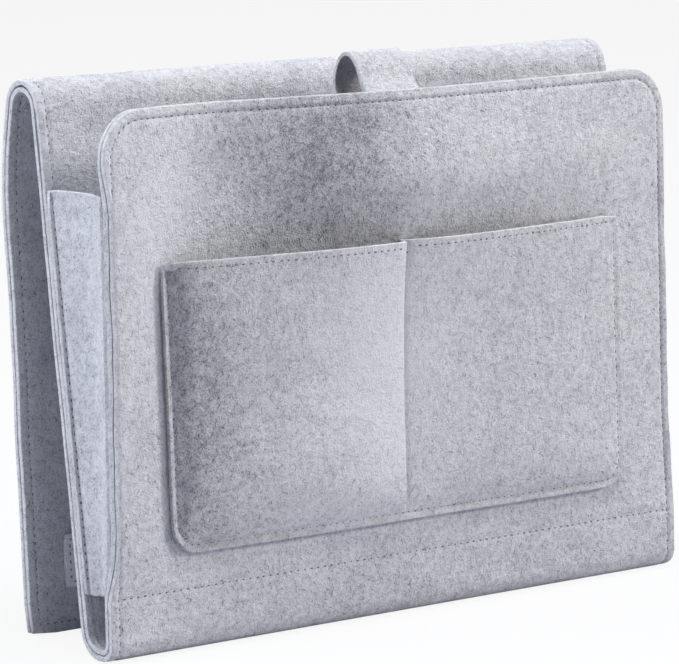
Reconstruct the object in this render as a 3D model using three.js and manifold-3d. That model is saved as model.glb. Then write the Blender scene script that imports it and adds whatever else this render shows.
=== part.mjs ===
// Felt bedside caddy. One long strip of double felt is folded like an N: front panel, bottom fold,
// rear panel, crown and flap. Boards stiffen the three panels, gussets close the sides of the main
// compartment, and two pockets, a pull loop and hook tape patches are sewn on.
// Millimetres. X runs across the width, the front faces -Y, Z is up and the caddy stands on z = 0.
import * as THREE from "three";
import { mergeVertices } from "three/addons/utils/BufferGeometryUtils.js";
import Module from "manifold-3d";

const wasm = await Module();
wasm.setup();

// Driving sizes in millimetres, with leans and turns in degrees.
const WIDTH = 330; // every panel, side to side
const FELT = 2.4; // one layer of felt in a panel
const BOARD = 0.7; // stiffener board between a panel's two layers
const SEAT = 0.25; // clearance between pieces that lie on each other
const SEAM_INSET = 5; // edge of a panel to its perimeter seam
const BOARD_MARGIN = 9; // edge of a panel to the edge of its board

const FRONT_HEIGHT = 245; // table to the front panel's top edge
const FRONT_LEAN = 2.3; // front panel, backwards from upright
const FRONT_CORNER = 22; // radius of the front panel's top corners
const FOLD_SEAM = 29; // table to the cross seam where the front panel meets the bottom fold

const BOTTOM_FRONT_RADIUS = 9; // outside of the bottom fold, under the front panel
const BOTTOM_FLAT = 3; // flat strip of the bottom fold that stands on the table
const BOTTOM_REAR_RADIUS = 14; // outside of the bottom fold, under the rear panel

const REAR_LEAN = 9; // rear panel, backwards from upright
const CROWN_HEIGHT = 254.5; // table to the top of the crown
const CROWN_RADIUS = 13.5; // outside of the crown
const CROWN_SLIT = 0.8; // gap along the top of the crown, where the flap folds

const FLAP_FLARE = 10; // flap's outward slope just under the crown
const FLAP_SHOULDER = 13; // straight run from the crown to the flap's bend
const FLAP_BEND_RADIUS = 130; // gentle bend of the flap at the top of its board
const FLAP_LEAN = 4.2; // flap below its bend, backwards from upright

const GUSSET_FELT = 2; // felt of the side gussets
const GUSSET_TOP = 207; // table to the gussets' top edge

const POCKET_FELT = 2.2; // felt of the front pocket panel
const POCKET_RISE = 16; // cross seam to the pocket panel's lower edge
const POCKET_HEIGHT = 130;
const POCKET_WIDTH = 263; // both pockets together
const POCKET_CORNER = 14; // lower corners of the pocket panel
const POCKET_HEM = 4; // edge of the pocket panel to its seam
const POCKET_DIVIDER = 5; // flat strip along the seam between the two pockets
const POCKET_SOFTNESS = 12; // how far in from its seam a pocket rounds over
const LEFT_POCKET_DEPTH = 14;
const RIGHT_POCKET_DEPTH = 11.5;

const LOOP_FELT = 2.2; // felt of the pull loop
const LOOP_WIDTH = 30;
const LOOP_FOOT = 18; // front panel's top edge down to the loop's sewn foot
const LOOP_LEG = 24; // straight run of the loop up the front panel
const LOOP_RADIUS = 10; // outside of the loop's round top
const LOOP_TURN = 215; // how far the loop curls over towards its foot

const PATCH_TAPE = 1.6; // thickness of the hook tape
const PATCH_WIDTH = 60;
const PATCH_HEIGHT = 25;
const PATCH_CORNER = 3;
const PATCH_SIDE = 19; // side edge of the flap to a patch
const PATCH_RISE = 20; // lower edge of the flap to a patch

// Sizes that follow from the ones above.
const PANEL = 2 * FELT + BOARD + 2 * SEAT;
const MIDDLE = PANEL / 2;
const FACE_LAYER = [-MIDDLE, FELT - MIDDLE];
const BOARD_LAYER = [-BOARD / 2, BOARD / 2];
const LINING_LAYER = [MIDDLE - FELT, MIDDLE];
const ARC_STEP = 12; // degrees of an arc to one station of a path

const radians = THREE.MathUtils.degToRad;
const sine = (degrees) => Math.sin(radians(degrees));
const cosine = (degrees) => Math.cos(radians(degrees));
const tangent = (degrees) => Math.tan(radians(degrees));

// A side-view path is a list of stations {y, z, heading}. A move is a straight run or an arc,
// where a positive turn goes left of the heading.
const run = (length) => ({ length, turn: 0 });
const arc = (radius, turn) => ({ length: radius * radians(Math.abs(turn)), turn });

function walk(start, moves) {
  const stations = [start];
  for (const { length, turn } of moves) {
    const steps = turn ? Math.ceil(Math.abs(turn) / ARC_STEP) : 1;
    const stepTurn = turn / steps;
    const halfTurn = radians(stepTurn) / 2;
    const chord = turn ? (length / steps) * (Math.sin(halfTurn) / halfTurn) : length;
    for (let step = 0; step < steps; step++) {
      const { y, z, heading } = stations.at(-1);
      const aim = heading + stepTurn / 2;
      stations.push({
        y: y + chord * cosine(aim),
        z: z + chord * sine(aim),
        heading: heading + stepTurn,
      });
    }
  }
  return stations;
}

// The path's points, moved sideways to the left by an offset.
function edge(stations, offset) {
  return stations.map(
    ({ y, z, heading }) =>
      new THREE.Vector2(y - offset * sine(heading), z + offset * cosine(heading)),
  );
}

// Moves a path edge's last point along its heading to the table.
function endOnTable(points, heading) {
  const last = points.at(-1);
  last.x -= last.y / tangent(heading);
  last.y = 0;
  return points;
}

// Extrudes a side-view outline across the width, centred on x.
function acrossWidth(points, width, x = 0) {
  const geometry = new THREE.ExtrudeGeometry(new THREE.Shape(points), {
    depth: width,
    bevelEnabled: false,
  });
  const basis = new THREE.Matrix4().makeBasis(
    new THREE.Vector3(0, 1, 0),
    new THREE.Vector3(0, 0, 1),
    new THREE.Vector3(1, 0, 0),
  );
  return geometry.applyMatrix4(basis).translate(x - width / 2, 0, 0);
}

// One layer of the folded strip along a path.
function strip(stations, [right, left], width = WIDTH) {
  return acrossWidth([...edge(stations, right), ...edge(stations, left).reverse()], width);
}

// A strip whose far end is cut flat on the table.
function standingStrip(stations, [right, left]) {
  const heading = stations.at(-1).heading;
  const rightEdge = endOnTable(edge(stations, right), heading);
  const leftEdge = endOnTable(edge(stations, left), heading);
  return acrossWidth([...rightEdge, ...leftEdge.reverse()], WIDTH);
}

// Turns a flat outline upright: its second axis becomes Z and its extrusion runs towards -Y.
function upright(geometry) {
  return geometry.rotateX(Math.PI / 2);
}

// A plate with an upright outline, from a near depth to a far depth behind y = 0.
function plate(outline, near, far) {
  const options = { depth: far - near, bevelEnabled: false, curveSegments: 6 };
  return upright(new THREE.ExtrudeGeometry(outline, options)).translate(0, far, 0);
}

// A rectangle centred on x = 0 with its own radius for the lower and the upper corners.
function roundedOutline(width, low, high, lowRadius, highRadius) {
  const side = width / 2;
  const outline = new THREE.Shape();
  outline.moveTo(-side + lowRadius, low);
  outline.lineTo(side - lowRadius, low);
  if (lowRadius) outline.absarc(side - lowRadius, low + lowRadius, lowRadius, -Math.PI / 2, 0);
  outline.lineTo(side, high - highRadius);
  if (highRadius) outline.absarc(side - highRadius, high - highRadius, highRadius, 0, Math.PI / 2);
  outline.lineTo(-side + highRadius, high);
  if (highRadius) {
    outline.absarc(highRadius - side, high - highRadius, highRadius, Math.PI / 2, Math.PI);
  }
  outline.lineTo(-side, low + lowRadius);
  if (lowRadius) outline.absarc(lowRadius - side, low + lowRadius, lowRadius, Math.PI, Math.PI * 1.5);
  return outline;
}

// Boolean joins and cuts.
function solidOf(geometry) {
  const bare = geometry.clone();
  bare.deleteAttribute("normal");
  bare.deleteAttribute("uv");
  const merged = mergeVertices(bare, 1e-4);
  return new wasm.Manifold(
    new wasm.Mesh({
      numProp: 3,
      vertProperties: merged.attributes.position.array,
      triVerts: new Uint32Array(merged.index.array),
    }),
  );
}

function geometryOf(solid) {
  const { vertProperties, triVerts } = solid.getMesh();
  const geometry = new THREE.BufferGeometry();
  geometry.setAttribute("position", new THREE.BufferAttribute(vertProperties, 3));
  geometry.setIndex(new THREE.BufferAttribute(triVerts, 1));
  geometry.computeVertexNormals();
  return geometry;
}

// The strip's path in side view, along the middle of its thickness.
const bottomFrontRadius = BOTTOM_FRONT_RADIUS - MIDDLE;
const bottomRearRadius = BOTTOM_REAR_RADIUS - MIDDLE;
const crownRadius = CROWN_RADIUS - MIDDLE;
const slitTurn = THREE.MathUtils.radToDeg(CROWN_SLIT / 2 / crownRadius);

const foldStart = { y: 0, z: FOLD_SEAM, heading: -90 - FRONT_LEAN };
const foldBendZ = MIDDLE + bottomFrontRadius * (1 + sine(FRONT_LEAN));
const foldPath = walk(foldStart, [
  run((FOLD_SEAM - foldBendZ) / cosine(FRONT_LEAN)),
  arc(bottomFrontRadius, 90 + FRONT_LEAN),
  run(BOTTOM_FLAT),
  arc(bottomRearRadius, 90 - REAR_LEAN),
]);

const rearStart = foldPath.at(-1);
const crownStartZ = CROWN_HEIGHT - CROWN_RADIUS + crownRadius * sine(REAR_LEAN);
const rearLength = (crownStartZ - rearStart.z) / cosine(REAR_LEAN);
const rearPath = walk(rearStart, [
  run(rearLength),
  arc(crownRadius, slitTurn + REAR_LEAN - 90),
]);
const foldAndRearPath = [...foldPath, ...rearPath.slice(1)];

const flapTop = walk(rearPath.at(-1), [arc(crownRadius, -2 * slitTurn)]).at(-1);
const flapShoulderPath = walk(flapTop, [
  arc(crownRadius, slitTurn + FLAP_FLARE - 90),
  run(FLAP_SHOULDER),
  arc(FLAP_BEND_RADIUS, -FLAP_FLARE - FLAP_LEAN),
]);
const flapStart = flapShoulderPath.at(-1);
const flapLength = flapStart.z / cosine(FLAP_LEAN);
const flapPath = walk(flapStart, [run(flapLength)]);
const wholeFlapPath = [...flapShoulderPath, ...flapPath.slice(1)];

// Depth of the two faces that look into the main compartment, at a height.
const frontInside = (z) => (z - FOLD_SEAM) * tangent(FRONT_LEAN) + MIDDLE / cosine(FRONT_LEAN);
const rearInside = (z) =>
  rearStart.y + (z - rearStart.z) * tangent(REAR_LEAN) - MIDDLE / cosine(REAR_LEAN);

// Materials, one for each mesh.
const matte = (color, roughness) => new THREE.MeshStandardMaterial({ color, roughness, metalness: 0 });
const faceFelt = () => matte(0xb9b9bb, 0.95);
const liningFelt = () => matte(0xb4b4b7, 0.95);
const boardPlastic = () => matte(0x8d8f92, 0.6);
const hookTape = () => matte(0xa9a9ab, 0.8);

function piece(name, geometry, material) {
  const mesh = new THREE.Mesh(geometry, material);
  mesh.name = name;
  return mesh;
}

// A board that lies in a straight run of the strip.
function boardStrip(start, length) {
  const lead = walk(start, [run(BOARD_MARGIN)]).at(-1);
  const path = walk(lead, [run(length - 2 * BOARD_MARGIN)]);
  return strip(path, BOARD_LAYER, WIDTH - 2 * BOARD_MARGIN);
}

// The rear panel with the bottom fold and the rear half of the crown.
function rearPieces() {
  return [
    piece("rear_face_felt", strip(foldAndRearPath, FACE_LAYER), faceFelt()),
    piece("rear_lining_felt", strip(foldAndRearPath, LINING_LAYER), liningFelt()),
    piece("rear_board", boardStrip(rearStart, rearLength), boardPlastic()),
  ];
}

// A gusset is a tapered web with a flange along each panel, turned out to the caddy's side edge.
function gussetGeometry(side) {
  const seamX = WIDTH / 2 - SEAM_INSET;
  const near = (z, inset) => new THREE.Vector2(frontInside(z) + SEAT + inset, z);
  const far = (z, inset) => new THREE.Vector2(rearInside(z) - SEAT - inset, z);
  const quad = (a, b, inset) => [
    a(FOLD_SEAM, 0),
    b(FOLD_SEAM, inset),
    b(GUSSET_TOP, inset),
    a(GUSSET_TOP, 0),
  ];
  const web = acrossWidth(quad(near, far, 0), GUSSET_FELT, side * (seamX - GUSSET_FELT / 2));
  const flangeWidth = SEAM_INSET + GUSSET_FELT;
  const flangeX = side * (WIDTH / 2 - flangeWidth / 2);
  const frontFlange = acrossWidth(quad(near, near, GUSSET_FELT), flangeWidth, flangeX);
  const rearFlange = acrossWidth(quad(far, far, GUSSET_FELT).reverse(), flangeWidth, flangeX);
  return geometryOf(solidOf(web).add(solidOf(frontFlange)).add(solidOf(rearFlange)));
}

// A cushion shape that rounds over from a rectangular outline, to a depth on both sides of y = 0.
function pillow(left, right, low, high, corner, depth) {
  const outline = roundedOutline(right - left, low, high, corner, corner);
  const geometry = new THREE.ExtrudeGeometry(outline, {
    depth: SEAT,
    bevelThickness: depth,
    bevelSize: POCKET_SOFTNESS,
    bevelOffset: -POCKET_SOFTNESS,
    bevelSegments: 4,
    curveSegments: 5,
  });
  return solidOf(upright(geometry).translate((left + right) / 2, 0, 0));
}

// The pocket panel is one felt sheet, sewn flat along its hem and its divider, that bulges into two
// pockets which are open at the top.
function pocketGeometry() {
  const side = POCKET_WIDTH / 2;
  const reach = POCKET_HEIGHT + 2 * POCKET_CORNER;
  const pockets = [
    { left: POCKET_HEM - side, right: -POCKET_DIVIDER / 2, depth: LEFT_POCKET_DEPTH },
    { left: POCKET_DIVIDER / 2, right: side - POCKET_HEM, depth: RIGHT_POCKET_DEPTH },
  ];
  const sheet = roundedOutline(POCKET_WIDTH, 0, reach, POCKET_CORNER, 0);
  let shell = solidOf(plate(sheet, -SEAT - POCKET_FELT, -SEAT));
  for (const { left, right, depth } of pockets) {
    shell = shell.add(pillow(left, right, POCKET_HEM, reach, POCKET_CORNER, depth));
  }
  for (const { left, right, depth } of pockets) {
    const [low, high] = [POCKET_HEM + POCKET_FELT, reach - POCKET_FELT];
    const hollow = [left + POCKET_FELT, right - POCKET_FELT, low, high];
    shell = shell.subtract(pillow(...hollow, POCKET_CORNER, depth - POCKET_FELT));
  }
  const deepest = Math.max(LEFT_POCKET_DEPTH, RIGHT_POCKET_DEPTH);
  const behind = new THREE.BoxGeometry(2 * POCKET_WIDTH, 2 * deepest, 4 * reach);
  const above = new THREE.BoxGeometry(2 * POCKET_WIDTH, 4 * deepest, reach);
  behind.translate(0, deepest - SEAT, 0);
  above.translate(0, 0, POCKET_HEIGHT + reach / 2);
  return geometryOf(shell.subtract(solidOf(behind)).subtract(solidOf(above)));
}

// The pull loop: a felt strip that runs up the front panel's lining, curls back and returns to its foot.
function loopGeometry(top) {
  const half = LOOP_FELT / 2;
  const middleRadius = LOOP_RADIUS - half;
  const foot = { y: PANEL + SEAT + half, z: top - LOOP_FOOT, heading: 90 };
  const curl = walk(foot, [run(LOOP_LEG), arc(middleRadius, -LOOP_TURN)]);
  const crest = curl.at(-1);
  const backToFoot = (crest.y - foot.y - LOOP_FELT - SEAT) / -cosine(crest.heading) - half;
  const path = [...curl, ...walk(crest, [run(backToFoot)]).slice(1)];
  return strip(path, [-half, half], LOOP_WIDTH);
}

// The front panel with its pockets and pull loop, in a frame that leans with it.
function frontPanel() {
  const panel = new THREE.Group();
  panel.position.set(0, -MIDDLE * cosine(FRONT_LEAN), FOLD_SEAM + MIDDLE * sine(FRONT_LEAN));
  panel.rotation.x = -radians(FRONT_LEAN);
  const top = (FRONT_HEIGHT - panel.position.z) / cosine(FRONT_LEAN);
  const outline = roundedOutline(WIDTH, SEAT, top, 0, FRONT_CORNER);
  const boardOutline = roundedOutline(
    WIDTH - 2 * BOARD_MARGIN,
    BOARD_MARGIN,
    top - BOARD_MARGIN,
    0,
    FRONT_CORNER - BOARD_MARGIN,
  );
  const layer = ([right, left]) => [right + MIDDLE, left + MIDDLE];
  panel.add(piece("front_face_felt", plate(outline, ...layer(FACE_LAYER)), faceFelt()));
  panel.add(piece("front_lining_felt", plate(outline, ...layer(LINING_LAYER)), liningFelt()));
  panel.add(piece("front_board", plate(boardOutline, ...layer(BOARD_LAYER)), boardPlastic()));

  const pockets = piece("pocket_panel", pocketGeometry(), faceFelt());
  pockets.position.z = POCKET_RISE;
  panel.add(pockets);
  panel.add(piece("pull_loop", loopGeometry(top), faceFelt()));
  return panel;
}

// The flap with its half of the crown.
function flapPieces() {
  return [
    piece("flap_face_felt", standingStrip(wholeFlapPath, FACE_LAYER), faceFelt()),
    piece("flap_lining_felt", standingStrip(wholeFlapPath, LINING_LAYER), liningFelt()),
    piece("flap_board", boardStrip(flapStart, flapLength), boardPlastic()),
  ];
}

// Hook tape patches on the side of the flap that looks at the rear panel.
function hookPatches() {
  const foot = edge(flapPath, -MIDDLE).at(-1);
  const patches = new THREE.Group();
  patches.position.set(0, foot.x, foot.y);
  patches.rotation.x = -radians(FLAP_LEAN);
  const patchTop = PATCH_RISE + PATCH_HEIGHT;
  const outline = roundedOutline(PATCH_WIDTH, PATCH_RISE, patchTop, PATCH_CORNER, PATCH_CORNER);
  const patchX = WIDTH / 2 - PATCH_SIDE - PATCH_WIDTH / 2;
  for (const [name, side] of [["hook_patch_left", -1], ["hook_patch_right", 1]]) {
    const patch = piece(name, plate(outline, -SEAT - PATCH_TAPE, -SEAT), hookTape());
    patch.position.x = side * patchX;
    patches.add(patch);
  }
  return patches;
}

const body = new THREE.Group();
body.add(frontPanel(), ...rearPieces(), ...flapPieces(), hookPatches());
body.add(piece("gusset_left", gussetGeometry(-1), liningFelt()));
body.add(piece("gusset_right", gussetGeometry(1), liningFelt()));

// The origin is the middle of the caddy's box, on the table.
const box = new THREE.Box3().setFromObject(body, true);
body.position.y = -(box.min.y + box.max.y) / 2;

const caddy = new THREE.Group();
caddy.add(body);

export default caddy;
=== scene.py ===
import math

import bmesh
import bpy
import numpy as np
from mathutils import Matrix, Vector


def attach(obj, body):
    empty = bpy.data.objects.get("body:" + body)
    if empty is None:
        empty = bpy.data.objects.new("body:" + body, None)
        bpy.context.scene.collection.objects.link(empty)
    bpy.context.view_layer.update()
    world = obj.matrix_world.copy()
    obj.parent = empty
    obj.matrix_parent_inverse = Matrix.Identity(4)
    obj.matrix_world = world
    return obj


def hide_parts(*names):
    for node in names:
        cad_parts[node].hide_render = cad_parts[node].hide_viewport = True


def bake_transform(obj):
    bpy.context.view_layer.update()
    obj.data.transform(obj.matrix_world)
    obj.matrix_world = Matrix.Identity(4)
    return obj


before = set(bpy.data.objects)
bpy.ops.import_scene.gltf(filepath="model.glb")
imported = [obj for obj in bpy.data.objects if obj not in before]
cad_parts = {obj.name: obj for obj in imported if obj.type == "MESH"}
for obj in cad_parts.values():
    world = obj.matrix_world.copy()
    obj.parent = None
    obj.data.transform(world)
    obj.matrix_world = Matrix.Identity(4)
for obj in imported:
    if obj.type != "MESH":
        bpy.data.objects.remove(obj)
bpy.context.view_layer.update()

MM = 0.001

# The folded strip, in millimetres and degrees. X is across, the front faces -Y, Z is up.
WIDTH = 330.0
HALF = WIDTH / 2
FELT = 2.4  # one layer of a panel
LAYER_GAP = 1.2  # between a panel's two layers
MIDDLE = FELT + LAYER_GAP / 2
SEAM = 4.5  # cut edge to the seam along it
FRONT_HEIGHT = 245.0
FRONT_LEAN = 2.3
FRONT_CORNER = 22.0
FOLD_SEAM = 29.0  # table to the cross seam above the bottom fold
FOLD_SEAM_Y = -33.687
BOTTOM_FRONT_RADIUS = 9.0
BOTTOM_FLAT = 3.0
BOTTOM_REAR_RADIUS = 14.0
REAR_LEAN = 9.0
CROWN_HEIGHT = 254.5
CROWN_RADIUS = 13.5
FLAP_FLARE = 10.0
FLAP_SHOULDER = 13.0
FLAP_BEND_RADIUS = 130.0
FLAP_LEAN = 4.2

# Pieces sewn to the strip.
GUSSET_FELT = 2.0
GUSSET_LOW = 28.0
GUSSET_TOP = 207.0
POCKET_FELT = 2.2
POCKET_LOW = 45.1
POCKET_HEIGHT = 131.8
POCKET_HALF = 132.3
POCKET_CORNER = 14.0
POCKET_HEM = 3.6
LOOP_FELT = 2.0
LOOP_WIDTH = 30.0
LOOP_X = -3.0
PATCH_WIDTH = 60.0
PATCH_HEIGHT = 25.0
PATCH_X = 116.0
PATCH_RISE = 20.0
PATCH_TAPE = 1.6


# Curves that shape the felt.
def smooth(low, high, value):
    """0 up to low, 1 from high on, and a soft ramp between."""
    t = np.clip((value - low) / (high - low), 0, 1)
    return t * t * (3 - 2 * t)


def within(zone, value):
    """1 inside a zone and 0 outside it. The zone says where it begins, is full, eases and ends."""
    begins, full, eases, ends = zone
    return smooth(begins, full, value) * (1 - smooth(eases, ends, value))


def bell(value, centre, spread):
    return np.exp(-(((value - centre) / spread) ** 2))


def curve_through(points, value):
    """A smooth curve through (place, height) points, without overshoot."""
    x, h = np.array(points, float).T
    slope = np.diff(h) / np.diff(x)
    product = slope[:-1] * slope[1:]
    tangent = np.zeros_like(h)
    tangent[1:-1] = np.where(product > 0, 2 * product / (slope[:-1] + slope[1:] + 1e-12), 0)
    tangent[0] = slope[0]
    tangent[-1] = slope[-1]
    value = np.clip(value, x[0], x[-1])
    i = np.clip(np.searchsorted(x, value) - 1, 0, len(x) - 2)
    step = x[i + 1] - x[i]
    t = (value - x[i]) / step
    return (
        (2 * t**3 - 3 * t**2 + 1) * h[i]
        + (t**3 - 2 * t**2 + t) * step * tangent[i]
        + (3 * t**2 - 2 * t**3) * h[i + 1]
        + (t**3 - t**2) * step * tangent[i + 1]
    )


def spline(points, count=16):
    """A smooth line through points, with count steps between each two."""
    p = np.array(points, float)
    p = np.concatenate([[2 * p[0] - p[1]], p, [2 * p[-1] - p[-2]]])
    t = np.linspace(0, 1, count, endpoint=False)[:, None]
    parts = []
    for a, b, c, e in zip(p, p[1:], p[2:], p[3:]):
        squared = 2 * a - 5 * b + 4 * c - e
        cubed = 3 * b - a - 3 * c + e
        parts.append(0.5 * (2 * b + (c - a) * t + squared * t**2 + cubed * t**3))
    return np.concatenate(parts + [p[-2:-1]])


def line_steps(line):
    """Distances along a line of points, from 0 at its start."""
    return np.concatenate([[0], np.cumsum(np.linalg.norm(np.diff(line, axis=0), axis=1))])


def line_ahead(line):
    """Unit directions along a line of points."""
    ahead = np.gradient(line, axis=0)
    return ahead / np.linalg.norm(ahead, axis=1, keepdims=True)


def along_line(at, steps, values):
    """Values given at a line's points, read at distances along it."""
    return [np.interp(at, steps, values[:, k]) for k in range(values.shape[1])]


def ripple(a, b):
    """Slow unevenness of the felt, about one unit either way."""
    return (
        0.5 * np.sin(a * 0.047 + 0.9) * np.cos(b * 0.039 + 0.4)
        + 0.3 * np.sin(a * 0.091 - b * 0.067 + 2.1)
        + 0.2 * np.sin(b * 0.13 + a * 0.021 + 4.0)
    )


# The folded strip in side view.
def run(length):
    return length, 0.0


def arc(radius, turn):
    return radius * math.radians(abs(turn)), turn


def walk(y, z, heading, moves, step=0.25):
    """Samples runs and arcs as rows of distance, y, z and heading."""
    rows = [(0.0, y, z, heading)]
    distance = 0.0
    for length, turn in moves:
        count = math.ceil(length / step)
        for _ in range(count):
            aim = math.radians(heading + turn / count / 2)
            y += length / count * math.cos(aim)
            z += length / count * math.sin(aim)
            heading += turn / count
            distance += length / count
            rows.append((distance, y, z, heading))
    return np.array(rows)


def strip_path():
    """The strip from the front panel's top to the flap's lower edge, and the distances of its marks."""
    lean = math.radians(FRONT_LEAN)
    rear = math.radians(REAR_LEAN)
    front_radius = BOTTOM_FRONT_RADIUS - MIDDLE
    rear_radius = BOTTOM_REAR_RADIUS - MIDDLE
    crown_radius = CROWN_RADIUS - MIDDLE
    panel = (FRONT_HEIGHT - FOLD_SEAM) / math.cos(lean)
    bend_z = MIDDLE + front_radius * (1 + math.sin(lean))
    below_seam = (FOLD_SEAM - bend_z) / math.cos(lean)
    rear_low = MIDDLE + rear_radius * (1 - math.sin(rear))
    rear_high = CROWN_HEIGHT - CROWN_RADIUS + crown_radius * math.sin(rear)
    moves = [
        run(panel),
        run(below_seam),
        arc(front_radius, 90 + FRONT_LEAN),
        run(BOTTOM_FLAT),
        arc(rear_radius, 90 - REAR_LEAN),
        run((rear_high - rear_low) / math.cos(rear)),
        arc(crown_radius, FLAP_FLARE + REAR_LEAN - 180),
        run(FLAP_SHOULDER),
        arc(FLAP_BEND_RADIUS, -FLAP_FLARE - FLAP_LEAN),
    ]
    top_y = FOLD_SEAM_Y + (FRONT_HEIGHT - FOLD_SEAM) * math.tan(lean)
    heading = -90 - FRONT_LEAN
    flap_top = walk(top_y, FRONT_HEIGHT, heading, moves)[-1]
    moves.append(run(flap_top[2] / math.cos(math.radians(FLAP_LEAN))))
    marks = np.cumsum([0] + [length for length, _ in moves])
    return walk(top_y, FRONT_HEIGHT, heading, moves), marks


# Marks along the strip: each is the distance from the front panel's top edge.
PATH, MARKS = strip_path()
TABLE = (MARKS[3] + MARKS[4]) / 2
REAR_START = MARKS[5]
CROWN_START = MARKS[6]
CROWN_END = MARKS[7]
FLAP_START = MARKS[9]
STRIP_END = MARKS[-1]
FRONT_LENGTH = TABLE
REAR_LENGTH = STRIP_END - TABLE
SEAM_UP = TABLE - MARKS[1]  # table line to the cross seam


def on_strip(distance, offset):
    """y and z at a distance along the strip, moved towards its lining side."""
    y = np.interp(distance, PATH[:, 0], PATH[:, 1])
    z = np.interp(distance, PATH[:, 0], PATH[:, 2])
    heading = np.radians(np.interp(distance, PATH[:, 0], PATH[:, 3]))
    return y - offset * np.sin(heading), z + offset * np.cos(heading)


def strip_height(distance):
    return np.interp(distance, PATH[:, 0], PATH[:, 2])


def front_distance(z):
    """Distance along the strip at a height of the front panel above its cross seam."""
    return TABLE - (z - FOLD_SEAM + SEAM_UP)


# How far the front panel stands forward: a wave in its upper middle, and its twisted sides.
FRONT_WAVE = [
    (-165, 0), (-130, 0), (-104, -0.6), (-90, 0), (-62, 3.6), (-26, 9.6), (-8, 11.2), (4, 11.4),
    (40, 9.4), (90, 5.4), (140, 1.2), (165, 0),
]
WAVE_RISE = [(0, 0), (0.3, 0.2), (0.5, 0.38), (0.68, 0.78), (0.82, 1.42), (0.92, 1.18), (1.05, 0.72)]
FRONT_SIDES = [
    (-165, 5.4), (-140, 1.0), (-116, -2.8), (-96, -2.4), (-60, 0), (80, 0), (125, -1.2), (165, -4.4),
]
SIDES_RISE = [(0, 0), (0.1, 0.36), (0.25, 0.66), (0.5, 0.9), (1.05, 1.0)]
TOP_RISE = 1.05  # the curves end a little above the top edge


def front_push(u, z):
    """How far the front panel stands forward. It is held flat at the cross seam."""
    rise = np.clip((z - FOLD_SEAM) / (FRONT_HEIGHT - FOLD_SEAM), 0, TOP_RISE)
    wave = curve_through(FRONT_WAVE, u) * curve_through(WAVE_RISE, rise)
    return wave + curve_through(FRONT_SIDES, u) * curve_through(SIDES_RISE, rise)


# Two layers of felt, sewn together near their cut edges.
EDGE_GAP = 0.1  # share of the gap that is left at the cut edge
SEAM_WIDTH = 0.85
SEAM_PINCH = 0.24  # share of the felt that the seam presses flat
SEAM_SINK = 0.1
EDGE_CURL = 1.1


def beyond_seam(d):
    return np.clip((SEAM - d) / SEAM, 0, 1) ** EDGE_CURL


def layer_offset(t, d, lift):
    """Distance of a layer's point from the strip's middle. t is 0 on its inside and 1 on its outside, d is
    the distance from the cut edge, and lift is how far the edge turns out beyond the seam."""
    gap = LAYER_GAP / 2 * (EDGE_GAP + (1 - EDGE_GAP) * smooth(0.5, SEAM - 0.5, d))
    pinch = bell(d, SEAM, SEAM_WIDTH)
    return gap + FELT * t * (1 - SEAM_PINCH * pinch) - SEAM_SINK * pinch + lift * beyond_seam(d)


# Pull of the gussets on the front panel's edges: heights, reach from the edge, and how far it turns.
PULL_ZONE = (26, 48, 196, 226)
PULL_REACH = (12, 6)
RIGHT_PULL = 0.5  # the right side's share
OUTER_PULL = 3.0
INNER_PULL = 3.35
OUTER_LIFT = 0.3
INNER_LIFT = 0.15
EDGE_DRAWN_IN = 1.5
EDGE_TURNED = 1.3
CROSS_SEAM_WIDTH = 1.2
CROSS_SEAM_SINK = 0.45
FRONT_RIPPLE = 0.35
RIPPLE_FULL = 70  # height from which the front panel's ripple is full


def edge_held(u, z):
    """How firmly a gusset holds the front panel's edge."""
    near_edge = smooth(HALF - PULL_REACH[0], HALF - PULL_REACH[1], np.abs(u))
    return within(PULL_ZONE, z) * near_edge * np.where(u < 0, 1.0, RIGHT_PULL)


def front_layer(side):
    """Placing of the front panel with its half of the bottom fold. Flat v runs up from the table line.
    Where the gussets pull on it, both layers of its edge turn forward beyond the seam."""

    def place(u, v, t, d):
        distance = TABLE - v
        z = strip_height(distance)
        held = edge_held(u, z)
        pull = held * (1 + 0.14 * np.sin(v * 0.083 + u * 0.02) + 0.1 * np.sin(v * 0.21 + 1.0))
        lift = OUTER_LIFT + OUTER_PULL * pull if side < 0 else INNER_LIFT - INNER_PULL * pull
        offset = side * layer_offset(t, d, lift)
        cross_seam = bell(v, SEAM_UP, CROSS_SEAM_WIDTH) * (d >= SEAM - 0.6)
        offset = offset - side * cross_seam * CROSS_SEAM_SINK * t
        uneven = FRONT_RIPPLE * ripple(u, v) * smooth(FOLD_SEAM, RIPPLE_FULL, z)
        y, z = on_strip(distance, offset - front_push(u, z) - uneven)
        drawn_in = (EDGE_DRAWN_IN - EDGE_TURNED * side * t) * held * beyond_seam(d)
        return np.stack([u - np.sign(u) * drawn_in, y, z], axis=-1)

    return place


# The rear panel's lining turns out at its edge above the gussets.
REAR_OPEN_ZONE = (205, 225, 236, 250)
REAR_OPEN_LIFT = 1.0
REAR_INNER_LIFT = 0.25
REAR_OUTER_LIFT = 0.4
REAR_RIPPLE = 0.5
REAR_RIPPLE_ZONE = (30, 90, 215, 240)
REAR_RIPPLE_SHIFT = 60


def rear_ripple(u, distance, z):
    """Unevenness of the rear panel and, twice as strong, of the flap."""
    flap = smooth(CROWN_END, FLAP_START, distance)
    uneven = ripple(u + REAR_RIPPLE_SHIFT, distance - TABLE)
    return REAR_RIPPLE * uneven * within(REAR_RIPPLE_ZONE, z) * (1 + flap)


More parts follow.
